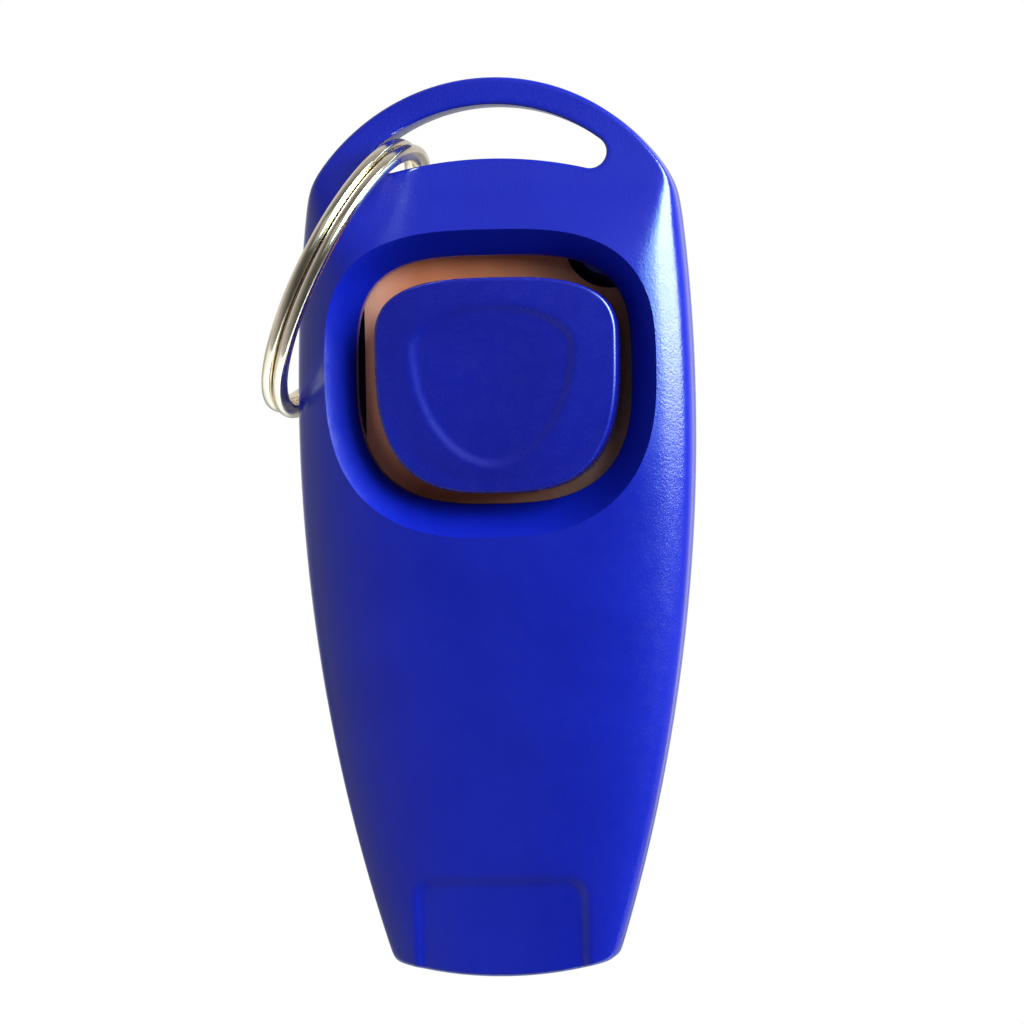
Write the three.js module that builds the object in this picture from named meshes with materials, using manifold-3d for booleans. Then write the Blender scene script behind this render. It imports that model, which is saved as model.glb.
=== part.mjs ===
// A dog-training clicker with a whistle in its mouth end and a split ring through its top slot.
//
// Frame: millimetres, +Z up along the body, the button faces -Y, X across. The shells meet on Y = 0.
// The origin is the hang point, the middle of the slot's upper edge. Inside this file the body is drawn with
// heights measured up from the tip of the mouthpiece, and the whole group is lowered at the end.
import * as THREE from "three";
import { mergeVertices } from "three/addons/utils/BufferGeometryUtils.js";
import Module from "manifold-3d";

const wasm = await Module();
wasm.setup();

// ---------------------------------------------------------------- driving dimensions
const LENGTH = 80;
const HALF_WIDTH = 17.65; // at the widest height
const WIDEST_HEIGHT = 50.5;
const SIDE_RADIUS = 160; // each long side is one arc
const TOP_RADIUS = 18.5;
const MOUTH_RADIUS = 36;
const CORNER_SOFTNESS = 0.28; // how far the soft minimum rounds the shoulders and mouth corners
const WALL = 1.3;
const SEAM_GAP = 0.05; // each shell stops this far short of the seam plane

const HANG_HEIGHT = 77.55; // the slot's upper edge
const SLOT_TOP_RADIUS = 16.2;
const SLOT_BOTTOM_HEIGHT = 72.7;
const SLOT_BOTTOM_RADIUS = 36;
const SLOT_END_RADIUS = 1.45;

const RIM_HEIGHT = 2.4; // the window's edge, above the seam plane
const WINDOW = { centre: 53.9, a: 12.3, up: 10.2, down: 11.85, nUp: 3.4, nDown: 2.9 };
const BEVEL = { centre: 53.9, a: 14.8, up: 12.4, down: 14.9, nUp: 3.0, nDown: 2.6 };
const BUTTON = { centre: 56.1, a: 10.78, up: 5.9, down: 13.15, nUp: 3.0, nDown: 2.95 };
const DISH = { centre: 55.8, a: 7.15, up: 3.6, down: 10.3, nUp: 2.05, nDown: 1.95 };
const CAVITY_TOP = 69.6;
const CAVITY_TOP_RADIUS = 34;
const CAVITY_BOTTOM = 1.6;

const LEAF_FRONT = 0.1; // depth of the leaf's front face behind the seam plane
const LEAF_THICKNESS = 0.3;
const LEAF = { left: -11.9, right: 12.7, bottom: 35.6, top: 67.2, corner: 1.4 };
const CLAMP = { bottom: 35.9, top: 40.2, halfWidth: 10.2, thickness: 0.9, screwX: 7.2, screwHeight: 38 };
const BOSS_HEIGHT = 54.5; // where the button's stem is screwed to the leaf
const BUTTON_X = 0.55; // the button sits a little right of the window's middle

const CASE_SCREWS = [
  { name: "case_screw_top", x: 10.3, height: 65.2, roof: 1.9 }, // its boss ends under the window's bevel
  { name: "case_screw_left", x: -11.6, height: 30.6 },
  { name: "case_screw_right", x: 11.6, height: 30.6 },
];
const CASE_SCREW = { boss: 3, shank: 0.98, head: 1.95, headHeight: 1.2, length: 6.2, sunk: 0.4, hole: 1.25 };
const NOTCH_RADIUS = 4.1; // in the leaf's corner, round the top screw boss

const WHISTLE = { seat: 1.2, groove: 2.4, labium: 2, halfWidth: 5.5, sill: 14.4, lip: 18.4, rampTop: 24.5 };
const TUB = { halfWidth: 7.4, bottom: 14.7, top: 33.2, front: -2.2, wall: 1 };
const BLOCK = { halfWidth: 6.3, bottom: 2.5, top: 14.4, front: -1.4 };

const RING = { radius: 12.75, radial: 1.5, turn: 1.08, gap: 0.08, kinkDeg: 15, endDeg: 19, kinkAt: 270 };

// ---------------------------------------------------------------- colours and finishes
const plastic = (color) => new THREE.MeshStandardMaterial({ color, roughness: 0.42, metalness: 0 });
const metal = (color, roughness) => new THREE.MeshStandardMaterial({ color, roughness, metalness: 1 });
const BLUE = plastic(0x1220b4);
const BUTTON_BLUE = plastic(0x101ca8);
const INNER_BLUE = plastic(0x0e1888);
const TEMPERED_STEEL = metal(0x8a4a2c, 0.45);
const ZINC_STEEL = metal(0xb4b8bc, 0.35);
const NICKEL = metal(0xdcd8d0, 0.16);

// ---------------------------------------------------------------- curves
// A closed curve given by its radius at each polar angle about a point on the centre line. It starts at the
// top and runs clockwise as seen from the front. Points are (x, height).
class PolarCurve extends THREE.Curve {
  constructor(centre, radiusAt) {
    super();
    this.centre = centre;
    this.radiusAt = radiusAt;
    this.arcLengthDivisions = 1440;
  }
  getPoint(t, target = new THREE.Vector2()) {
    const angle = Math.PI / 2 - 2 * Math.PI * t;
    const r = this.radiusAt(angle);
    return target.set(r * Math.cos(angle), this.centre + r * Math.sin(angle));
  }
}

// A squarish oval with its own height and squareness above and below its widest line.
function superellipse({ centre, a, up, down, nUp, nDown }) {
  return new PolarCurve(centre, (angle) => {
    const s = Math.sin(angle);
    const [b, n] = s >= 0 ? [up, nUp] : [down, nDown];
    return (Math.abs(Math.cos(angle) / a) ** n + Math.abs(s / b) ** n) ** (-1 / n);
  });
}

// Distance along a ray from (0, from) to the circle round (cx, cz), leaving the circle's inside.
function rayToCircle(angle, from, cx, cz, radius) {
  const [dx, dz] = [Math.cos(angle), Math.sin(angle)];
  const along = cx * dx + (cz - from) * dz;
  const off2 = cx * cx + (cz - from) ** 2 - along * along;
  return along + Math.sqrt(radius * radius - off2);
}

function softMin(values, k) {
  const least = Math.min(...values);
  return least - k * Math.log(values.reduce((sum, v) => sum + Math.exp((least - v) / k), 0));
}

// The body's outline in front view, its long sides moved inwards by inset. The top arc closes its upper end
// and the mouth arc its lower end.
function bodyOutline(inset, top, topRadius, bottom, softness) {
  const middle = top - topRadius;
  return new PolarCurve(middle, (angle) => {
    const side = SIDE_RADIUS - inset;
    const reach = HALF_WIDTH - SIDE_RADIUS;
    const end =
      Math.sin(angle) > 0 ? topRadius : rayToCircle(angle, middle, 0, bottom + MOUTH_RADIUS, MOUTH_RADIUS);
    const sides = [reach, -reach].map((x) => rayToCircle(angle, middle, x, WIDEST_HEIGHT, side));
    return softMin([end, ...sides], softness);
  });
}

const OUTLINE = bodyOutline(0, LENGTH, TOP_RADIUS, 0, CORNER_SOFTNESS);
const CAVITY = bodyOutline(WALL + 0.3, CAVITY_TOP, CAVITY_TOP_RADIUS, CAVITY_BOTTOM, CORNER_SOFTNESS);

// ---------------------------------------------------------------- the outer surfaces
const sideHalfWidth = (height) =>
  HALF_WIDTH - SIDE_RADIUS + Math.sqrt(SIDE_RADIUS ** 2 - (height - WIDEST_HEIGHT) ** 2);

// A smooth curve through [height, value] pairs.
function profile(pairs) {
  return (height) => {
    const h = THREE.MathUtils.clamp(height, pairs[0][0], pairs.at(-1)[0]);
    const i = Math.min(pairs.findIndex((p, k) => k > 0 && h <= p[0]), pairs.length - 1);
    const [[h0, v0], [h1, v1]] = [pairs[i - 1], pairs[i]];
    const slope = (k) => {
      const [before, after] = [pairs[Math.max(k - 1, 0)], pairs[Math.min(k + 1, pairs.length - 1)]];
      return (after[1] - before[1]) / (after[0] - before[0]);
    };
    const [t, d] = [(h - h0) / (h1 - h0), h1 - h0];
    const [t2, t3] = [t * t, t * t * t];
    return (
      (2 * t3 - 3 * t2 + 1) * v0 + (t3 - 2 * t2 + t) * d * slope(i - 1) +
      (3 * t2 - 2 * t3) * v1 + (t3 - t2) * d * slope(i)
    );
  };
}

const frontCrest = profile([[0, 3.4], [12, 4.3], [28, 5.7], [44, 6.6], [54, 6.8], [62, 6.8], [80, 6.8]]);
const frontRamp = profile([[54, 9], [60, 7.3], [64, 5.9], [68, 4.5], [72, 3.2], [76, 2.45], [80, 2.1]]);
const frontEdge = profile([[0, 1.7], [20, 2.1], [60, 2.3], [80, 2.3]]);
const UPPER_BACK = [[54, 6], [60, 5.7], [66, 4.6], [72, 2.9], [76, 2.3], [80, 2.1]];
const backCrest = profile([[0, 3.3], [9, 4.6], [18, 5.8], [24, 6], [32, 6], [46, 6], ...UPPER_BACK]);
const backEdge = profile([[0, 1.7], [20, 1.6], [60, 1.6], [72, 1.7], [80, 1.7]]);
const RAMP_SOFTNESS = 0.22; // rounding of the crease where the top slope cuts the crown

// Distance inwards from the long side or the top arc, whichever is nearer.
function edgeDistance(x, height) {
  const aboveTopCentre = Math.max(height - (LENGTH - TOP_RADIUS), 0);
  return Math.min(sideHalfWidth(height) - Math.abs(x), TOP_RADIUS - Math.hypot(x, aboveTopCentre));
}

// Share of the full crown at a point: 1 on the middle's plateau, 0 on the outline.
function crown(x, height, plateau, squareness) {
  const out = 1 - Math.max(edgeDistance(x, height), 0) / sideHalfWidth(height);
  const u = Math.max(out - plateau, 0) / (1 - plateau);
  return Math.sqrt(Math.max(1 - u ** squareness, 0));
}

const MOUTH_EDGE = 0.8; // rounding of the crowns at the mouthpiece's tip
function mouthRounding(x, height) {
  const inside = MOUTH_RADIUS - Math.hypot(x, Math.min(height - MOUTH_RADIUS, 0));
  const short = Math.max(MOUTH_EDGE - Math.max(inside, 0), 0);
  return MOUTH_EDGE - Math.sqrt(MOUTH_EDGE ** 2 - short ** 2);
}

// The front's crown runs on under the slope that thins the body towards its top.
function frontSurface(x, height) {
  const [crest, edge] = [frontCrest(height), frontEdge(height)];
  const crowned = edge + (crest - edge) * crown(x, height, 0, 3.2);
  return softMin([crowned, frontRamp(height)], RAMP_SOFTNESS) - mouthRounding(x, height);
}

function backSurface(x, height) {
  const [crest, edge] = [backCrest(height), backEdge(height)];
  return edge + (crest - edge) * crown(x, height, 0.5, 2.2) - mouthRounding(x, height);
}

// ---------------------------------------------------------------- solids
const COLUMNS = 72;

// A closed mesh from loops of equal length, each joined to the next. The first and last loops are capped
// with a fan round their middle, or joined to each other where joinEnds is set.
function skin(loops, joinEnds = false) {
  const n = loops[0].length;
  const points = loops.flat();
  const triangles = [];
  const quad = (a, b, c, d) => triangles.push(a, b, c, a, c, d);
  const spans = joinEnds ? loops.length : loops.length - 1;
  for (let row = 0; row < spans; row++) {
    const next = (row + 1) % loops.length;
    for (let i = 0; i < n; i++) {
      const j = (i + 1) % n;
      quad(row * n + i, row * n + j, next * n + j, next * n + i);
    }
  }
  if (!joinEnds) {
    const cap = (row, reverse) => {
      const middle = new THREE.Vector3();
      loops[row].forEach((p) => middle.addScaledVector(p, 1 / n));
      const hub = points.push(middle) - 1;
      for (let i = 0; i < n; i++) {
        const [a, b] = [row * n + i, row * n + ((i + 1) % n)];
        triangles.push(...(reverse ? [hub, b, a] : [hub, a, b]));
      }
    };
    cap(0, true);
    cap(loops.length - 1, false);
  }
  const geometry = new THREE.BufferGeometry().setFromPoints(points);
  geometry.setIndex(triangles);
  return facingOut(geometry);
}

function facingOut(geometry) {
  const p = geometry.getAttribute("position");
  const index = geometry.index.array;
  const [a, b, c] = [new THREE.Vector3(), new THREE.Vector3(), new THREE.Vector3()];
  let volume = 0;
  for (let i = 0; i < index.length; i += 3) {
    a.fromBufferAttribute(p, index[i]);
    b.fromBufferAttribute(p, index[i + 1]);
    c.fromBufferAttribute(p, index[i + 2]);
    volume += a.dot(b.cross(c));
  }
  if (volume < 0)
    for (let i = 0; i < index.length; i += 3) [index[i], index[i + 1]] = [index[i + 1], index[i]];
  return geometry;
}

// The geometry's triangles alone, with the corners that meet made one.
function welded(geometry) {
  const bare = new THREE.BufferGeometry().setAttribute("position", geometry.getAttribute("position"));
  if (geometry.index) bare.setIndex(geometry.index);
  return mergeVertices(bare, 1e-4);
}

function solid(geometry) {
  const { attributes, index } = welded(geometry);
  return new wasm.Manifold(
    new wasm.Mesh({
      numProp: 3,
      vertProperties: attributes.position.array,
      triVerts: new Uint32Array(index.array),
    }),
  );
}

function geometryOf(manifold) {
  const mesh = manifold.getMesh();
  return new THREE.BufferGeometry()
    .setAttribute("position", new THREE.BufferAttribute(mesh.vertProperties, 3))
    .setIndex(new THREE.BufferAttribute(mesh.triVerts, 1))
    .toNonIndexed();
}

const joined = (first, ...rest) => rest.reduce((whole, piece) => whole.add(piece), first);
const cut = (first, ...rest) => rest.reduce((whole, piece) => whole.subtract(piece), first);

// A box from its low and high corners, each (x, y, height).
function box(low, high) {
  const size = high.map((v, k) => v - low[k]);
  const middle = high.map((v, k) => (v + low[k]) / 2);
  return solid(new THREE.BoxGeometry(...size).translate(...middle));
}

// A solid of revolution about a line along Y through (x, height): profile points are (radius, y).
function turned(x, height, points, segments) {
  const lathe = new THREE.LatheGeometry(points.map(([r, y]) => new THREE.Vector2(r, y)), segments);
  return solid(facingOut(welded(lathe))).translate([x, 0, height]);
}

const rod = (x, height, radius, y0, y1, segments = 20) =>
  turned(x, height, [[0, y0], [radius, y0], [radius, y1], [0, y1]], segments);

// A plate in the XZ plane from a shape drawn in (x, height), between depths y0 and y1.
function plate(shape, y0, y1, curveSegments = 10) {
  const extruded = new THREE.ExtrudeGeometry(shape, { depth: y1 - y0, bevelEnabled: false, curveSegments });
  // ExtrudeGeometry rises along +Z; this turn brings that to -Y, so the plate then moves to end at y0.
  return solid(extruded.rotateX(Math.PI / 2).translate(0, y1, 0));
}

// ---------------------------------------------------------------- shells
const outlinePoints = OUTLINE.getSpacedPoints(COLUMNS).slice(0, COLUMNS);
const cavityPoints = CAVITY.getSpacedPoints(COLUMNS).slice(0, COLUMNS);

// One loop of a shell: points at a share of the way between two curves, at the depth that depth(x, h) says.
function loopBetween(from, to, share, depth) {
  return from.map((p, i) => {
    const q = p.clone().lerp(to[i], share);
    return new THREE.Vector3(q.x, depth(q.x, q.y), q.y);
  });
}

function slotShape() {
  const topCentre = HANG_HEIGHT - SLOT_TOP_RADIUS;
  const bottomCentre = SLOT_BOTTOM_HEIGHT - SLOT_BOTTOM_RADIUS;
  // Each round end touches the upper arc from inside and the lower arc from outside.
  const [reachTop, reachBottom] = [SLOT_TOP_RADIUS - SLOT_END_RADIUS, SLOT_BOTTOM_RADIUS + SLOT_END_RADIUS];
  const squares = reachBottom ** 2 - reachTop ** 2 + topCentre ** 2 - bottomCentre ** 2;
  const endHeight = squares / (2 * (topCentre - bottomCentre));
  const endX = Math.sqrt(reachTop ** 2 - (endHeight - topCentre) ** 2);
  const rise = Math.atan2(endHeight - topCentre, endX);
  const fall = Math.atan2(endHeight - bottomCentre, endX);
  const shape = new THREE.Shape();
  shape.absarc(0, topCentre, SLOT_TOP_RADIUS, rise, Math.PI - rise, false);
  shape.absarc(-endX, endHeight, SLOT_END_RADIUS, Math.PI - rise, 2 * Math.PI - fall, false);
  shape.absarc(0, bottomCentre, SLOT_BOTTOM_RADIUS, Math.PI - fall, fall, true);
  shape.absarc(endX, endHeight, SLOT_END_RADIUS, fall - Math.PI, rise, false);
  return shape;
}

function frontShell() {
  const bevelPoints = superellipse(BEVEL).getSpacedPoints(COLUMNS).slice(0, COLUMNS);
  const windowPoints = superellipse(WINDOW).getSpacedPoints(COLUMNS).slice(0, COLUMNS);
  const seam = () => -SEAM_GAP;
  const outer = (x, h) => -frontSurface(x, h);
  const inner = (x, h) => Math.min(-(frontSurface(x, h) - WALL), -1.2);
  const edge = (x, h) => -(Math.min(frontEdge(h), frontRamp(h) - 0.2) - mouthRounding(x, h));
  const loops = [seam, edge].map((depth) => loopBetween(outlinePoints, outlinePoints, 0, depth));
  for (const share of [0.012, 0.035, 0.08, 0.15, 0.27, 0.42, 0.6, 0.8, 1])
    loops.push(loopBetween(outlinePoints, bevelPoints, share, outer));
  // The bevel sinks evenly from the crowned surface to a level rim.
  for (const share of [0.5, 1]) {
    loops.push(
      bevelPoints.map((p, i) => {
        const q = p.clone().lerp(windowPoints[i], share);
        return new THREE.Vector3(q.x, THREE.MathUtils.lerp(outer(p.x, p.y), -RIM_HEIGHT, share), q.y);
      }),
    );
  }
  loops.push(loopBetween(windowPoints, windowPoints, 0, () => -(RIM_HEIGHT - WALL)));
  loops.push(loopBetween(windowPoints, bevelPoints, 0.5, () => -(RIM_HEIGHT - WALL)));
  for (const share of [0.15, 0.45, 0.75, 0.93, 1])
    loops.push(loopBetween(bevelPoints, cavityPoints, share, inner));
  loops.push(loopBetween(cavityPoints, cavityPoints, 0, seam));
  let shell = solid(skin(loops, true));

  const bosses = CASE_SCREWS.map(({ x, height, roof }) =>
    rod(x, height, CASE_SCREW.boss, -SEAM_GAP, -(roof ?? frontSurface(x, height) - WALL + 0.2), 24),
  );
  const pilots = CASE_SCREWS.map((place) =>
    rod(place.x, place.height, CASE_SCREW.shank + 0.07, 1, screwSeat(place) - CASE_SCREW.length - 0.3, 12),
  );
  shell = joined(shell, ...bosses);
  return cut(shell, ...pilots, plate(slotShape(), -9, 9, 16), boreOfWindow(), biteLand());
}

// Depth at which a case screw's head bears, so that its crown ends a little below the back.
const screwSeat = ({ x, height }) => backSurface(x, height) - CASE_SCREW.sunk - CASE_SCREW.headHeight;

// The flat land cut into the mouth end for the teeth.
const BITE = { halfWidth: 7.5, top: 8.6, depth: 0.5 };
function biteLand() {
  const low = -(frontCrest(0) - BITE.depth);
  const high = -(frontCrest(BITE.top) - BITE.depth);
  const corners = [[-9, -1], [low, -1], [low, 0], [high, BITE.top], [-9, BITE.top]];
  return profileAcross(new THREE.Shape(corners.map((c) => new THREE.Vector2(...c))), BITE.halfWidth);
}

// Whatever stands into the window is trimmed away, such as the edge of the top screw boss.
function boreOfWindow() {
  const shape = new THREE.Shape(superellipse(WINDOW).getSpacedPoints(64).slice(0, 64));
  return plate(shape, -9, -1.2);
}

function backShell() {
  const flat = superellipse({ centre: 40, a: 7.6, up: 14, down: 15.5, nUp: 3, nDown: 3 });
  const flatPoints = flat.getSpacedPoints(COLUMNS).slice(0, COLUMNS);
  const seam = () => SEAM_GAP;
  const edge = (x, h) => backEdge(h) - mouthRounding(x, h);
  const inner = (x, h) => Math.max(backSurface(x, h) - WALL, 1.1);
  const loops = [loopBetween(cavityPoints, flatPoints, 1, inner)];
  for (const share of [0.6, 0.3, 0.12, 0.03, 0])
    loops.push(loopBetween(cavityPoints, flatPoints, share, inner));
  loops.push(loopBetween(cavityPoints, cavityPoints, 0, seam));
  loops.push(loopBetween(outlinePoints, outlinePoints, 0, seam));
  loops.push(loopBetween(outlinePoints, outlinePoints, 0, edge));
  for (const share of [0.012, 0.035, 0.08, 0.15, 0.27, 0.42, 0.6, 0.8, 1])
    loops.push(loopBetween(outlinePoints, flatPoints, share, backSurface));
  let shell = solid(skin(loops));

  const { seat, groove, labium, halfWidth, sill, lip, rampTop } = WHISTLE;
  const chamber = TUB.halfWidth - TUB.wall;
  const everything = joined(shell, whistlePad(seat), leafLedge(), ...CASE_SCREWS.map(backBoss));
  shell = cut(
    everything,
    box([-halfWidth, seat - 0.02, -1], [halfWidth, groove, sill + 0.01]),
    box([-halfWidth, seat - 0.02, sill], [halfWidth, 9, lip]),
    box([-chamber, seat - 0.02, sill], [chamber, labium, TUB.top - TUB.wall]),
    labiumRamp(halfWidth, labium + 0.25, lip, rampTop),
    plate(slotShape(), -9, 9, 16),
    ...CASE_SCREWS.map(({ x, height }) => rod(x, height, CASE_SCREW.hole, -1, 9, 12)),
    ...CASE_SCREWS.map((place) => rod(place.x, place.height, CASE_SCREW.head + 0.4, screwSeat(place), 9, 24)),
    ...[-1, 1].map((side) => rod(side * CLAMP.screwX, CLAMP.screwHeight, 0.72, -1, 4.2, 12)),
  );
  return shell;
}

function backBoss({ x, height }) {
  return rod(x, height, CASE_SCREW.boss, SEAM_GAP, backSurface(x, height) - WALL + 0.2, 24);
}

// The thick pad inside the mouth end that carries the windway and the whistle's lip.
function whistlePad(seat) {
  const skinDepth = (h) => backSurface(0, h) - 0.6;
  const shape = new THREE.Shape([
    new THREE.Vector2(seat, CAVITY_BOTTOM - 0.6),
    new THREE.Vector2(skinDepth(2), CAVITY_BOTTOM - 0.6),
    new THREE.Vector2(skinDepth(9), 9),
    new THREE.Vector2(skinDepth(20), 20),
    new THREE.Vector2(skinDepth(20), 34.2),
    new THREE.Vector2(seat, 34.2),
  ]);
  return profileAcross(shape, 7.9);
}

// The ledge that the leaf's tail is screwed down on.
function leafLedge() {
  const rear = LEAF_FRONT + LEAF_THICKNESS + 0.05;
  return box([-10.6, rear, CLAMP.bottom - 0.2], [10.6, 5.2, CLAMP.top]);
}

// The slope outside the whistle's lip, sharp at the window and running out on the back.
function labiumRamp(halfWidth, edgeDepth, lip, top) {
  const shape = new THREE.Shape([
    new THREE.Vector2(edgeDepth, lip - 0.5),
    new THREE.Vector2(edgeDepth, lip),
    new THREE.Vector2(6.05, top),
    new THREE.Vector2(9, top),
    new THREE.Vector2(9, lip - 0.5),
  ]);
  return profileAcross(shape, halfWidth);
}

// A shape drawn in (y, height) and extruded across X, the same distance each side of the middle.
function profileAcross(shape, halfWidth) {
  const extruded = new THREE.ExtrudeGeometry(shape, { depth: 2 * halfWidth, bevelEnabled: false });
  const turn = new THREE.Matrix4().makeBasis(
    new THREE.Vector3(0, 1, 0), new THREE.Vector3(0, 0, 1), new THREE.Vector3(1, 0, 0),
  );
  extruded.applyMatrix4(turn).translate(-halfWidth, 0, 0);
  return solid(extruded);
}

// ---------------------------------------------------------------- the clicker
const BUTTON_FACE = 5.9; // the face's edge above the seam plane
const BUTTON_DOME = 0.4;
const DISH_DEPTH = 0.45;
const BUTTON_FOOT = 1.7; // the skirt's foot above the seam plane
const STEM_RADIUS = 2.2;

function clickButton() {
  const outer = superellipse(BUTTON).getSpacedPoints(COLUMNS).slice(0, COLUMNS);
  const dish = superellipse(DISH).getSpacedPoints(COLUMNS).slice(0, COLUMNS);
  const middle = new THREE.Vector2(0, BUTTON.centre - 1.6);
  const shrunk = (points, by) => points.map((p) => p.clone().lerp(middle, by));
  const ring = (radius) => outer.map((_, i) => {
    const angle = Math.PI / 2 - (2 * Math.PI * i) / COLUMNS;
    return new THREE.Vector2(radius * Math.cos(angle), BOSS_HEIGHT + radius * Math.sin(angle));
  });
  const at = (points, y) => points.map((p) => new THREE.Vector3(p.x, y, p.y));
  const skirtInside = shrunk(outer, 0.13);
  const roof = -(BUTTON_FACE - 1.1);
  const domed = (points, sink) => points.map((p) => {
    const out = Math.min(p.distanceTo(middle) / BUTTON.a, 1);
    return new THREE.Vector3(p.x, -(BUTTON_FACE + BUTTON_DOME * (1 - out * out) - sink), p.y);
  });
  return solid(
    skin([
      at(ring(0.72), -2.6),
      at(ring(0.72), -0.02),
      at(ring(STEM_RADIUS), -0.02),
      at(ring(STEM_RADIUS), roof),
      at(skirtInside, roof),
      at(skirtInside, -BUTTON_FOOT),
      at(outer, -BUTTON_FOOT),
      at(shrunk(outer, 0.012), -(BUTTON_FACE - 0.35)),
      domed(shrunk(outer, 0.035), 0.08),
      domed(shrunk(outer, 0.09), 0),
      domed(dish, 0),
      domed(shrunk(dish, 0.25), DISH_DEPTH * 0.6),
      domed(shrunk(dish, 0.6), DISH_DEPTH),
    ]),
  ).translate([BUTTON_X, 0, 0]);
}

function clickLeaf() {
  const { left, right, bottom, top, corner: r } = LEAF;
  const shape = new THREE.Shape();
  shape.absarc(right - r, bottom + r, r, -Math.PI / 2, 0, false);
  shape.absarc(right - r, top - r, r, 0, Math.PI / 2, false);
  shape.absarc(left + r, top - r, r, Math.PI / 2, Math.PI, false);
  shape.absarc(left + r, bottom + r, r, Math.PI, 1.5 * Math.PI, false);
  const [y0, y1] = [LEAF_FRONT, LEAF_FRONT + LEAF_THICKNESS];
  const notch = CASE_SCREWS[0];
  const blank = cut(
    plate(shape, y0, y1, 5),
    rod(notch.x, notch.height, NOTCH_RADIUS, -1, 2, 36),
    rod(BUTTON_X, BOSS_HEIGHT, 1.2, -1, 2, 16),
    ...[-1, 1].map((side) => rod(side * CLAMP.screwX, CLAMP.screwHeight, 1.2, -1, 2, 16)),
    rod(0, DIMPLE.height, DIMPLE.radius - 0.1, -1, 2, 32),
  );
  return joined(blank, dimple(y0, y1));
}

// The shallow dome that snaps through when the leaf bends, pressed towards the back.
const DIMPLE = { height: 47.2, radius: 3.4, rise: 0.8 };
function dimple(y0, y1) {
  const { height, radius, rise } = DIMPLE;
  const steps = [1, 0.8, 0.55, 0.3];
  const bulge = (share) => rise * (1 - share * share);
  const points = [[0, y0 + rise], ...steps.toReversed().map((s) => [radius * s, y0 + bulge(s)])];
  points.push(...steps.map((s) => [radius * s, y1 + bulge(s)]), [0, y1 + rise]);
  return turned(0, height, points, 32);
}

function clampBar() {
  const { bottom, top, halfWidth, thickness, screwX, screwHeight } = CLAMP;
  const front = LEAF_FRONT - 0.05 - thickness;
  return cut(
    box([-halfWidth, front, bottom], [halfWidth, front + thickness, top]),
    ...[-1, 1].map((side) => rod(side * screwX, screwHeight, 1.2, -3, 3, 16)),
  );
}

// ---------------------------------------------------------------- screws
// A pan-head screw along Y with a cross recess. Its head bears at depth seat and its point is at tip.
function screw(x, height, { seat, tip, headHeight, headRadius, shankRadius }) {
  const out = Math.sign(seat - tip);
  const crest = seat + out * headHeight;
  const body = turned(x, height, [
    [0, tip],
    [shankRadius * 0.55, tip + out * 0.2],
    [shankRadius, tip + out * 1.1],
    [shankRadius, seat],
    [headRadius, seat],
    [headRadius, crest - out * headHeight * 0.5],
    [headRadius * 0.72, crest - out * headHeight * 0.08],
    [0, crest],
  ], 16);
  const [near, far] = [crest - out * headHeight * 0.7, crest + out].sort((a, b) => a - b);
  const arm = headRadius * 0.6;
  const slit = headRadius * 0.13;
  return cut(
    body,
    box([x - arm, near, height - slit], [x + arm, far, height + slit]),
    box([x - slit, near, height - arm], [x + slit, far, height + arm]),
  );
}

function caseScrew(place) {
  const seat = screwSeat(place) + 0.05;
  const { headHeight, head: headRadius, shank: shankRadius, length } = CASE_SCREW;
  return screw(place.x, place.height, { seat, tip: seat - length, headHeight, headRadius, shankRadius });
}

const SMALL_SCREW = { headHeight: 0.8, headRadius: 1.6, shankRadius: 0.65 };

function leafScrew(side) {
  const seat = LEAF_FRONT - 0.1 - CLAMP.thickness;
  return screw(side * CLAMP.screwX, CLAMP.screwHeight, { seat, tip: 3.9, ...SMALL_SCREW });
}

function buttonScrew() {
  const seat = LEAF_FRONT + LEAF_THICKNESS + 0.05;
  return screw(BUTTON_X, BOSS_HEIGHT, { seat, tip: -2.4, ...SMALL_SCREW });
}

// ---------------------------------------------------------------- the whistle
function resonanceTub() {
  const { halfWidth, bottom, top, front, wall } = TUB;
  const rear = WHISTLE.seat - 0.08;
  return cut(
    box([-halfWidth, front, bottom], [halfWidth, rear, top]),
    box([-halfWidth + wall, front + wall, bottom + wall], [halfWidth - wall, rear + 1, top - wall]),
  );
}

function windwayBlock() {
  const { halfWidth, bottom, top, front } = BLOCK;
  const rear = WHISTLE.seat - 0.08;
  const shape = new THREE.Shape([
    new THREE.Vector2(front, bottom),
    new THREE.Vector2(rear, bottom),
    new THREE.Vector2(rear, top - 0.5),
    new THREE.Vector2(rear - 0.5, top),
    new THREE.Vector2(front - 0.6, top),
  ]);
  return profileAcross(shape, halfWidth);
}

// ---------------------------------------------------------------- the split ring
// The ring hangs by its own weight: its wire lies on the slot's lower edge and its far side leans on the
// body's long side. lean is measured from straight down, towards -X.
const RING_PLACE = { x: -13.4, y: -0.2, height: 62.4, lean: 27.2, twist: 3.5, pitch: 7.5 };

// A section of flattened wire, radial by axial, with rounded corners.
function wireSection(radial, axial) {
  const points = [];
  for (let i = 0; i < 8; i++) {
    const angle = (2 * Math.PI * (i + 0.5)) / 8;
    const r = (Math.abs(Math.cos(angle)) ** 3.2 + Math.abs(Math.sin(angle)) ** 3.2) ** (-1 / 3.2);
    points.push([(radial / 2) * r * Math.cos(angle), (axial / 2) * r * Math.sin(angle)]);
  }
  return points;
}

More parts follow.
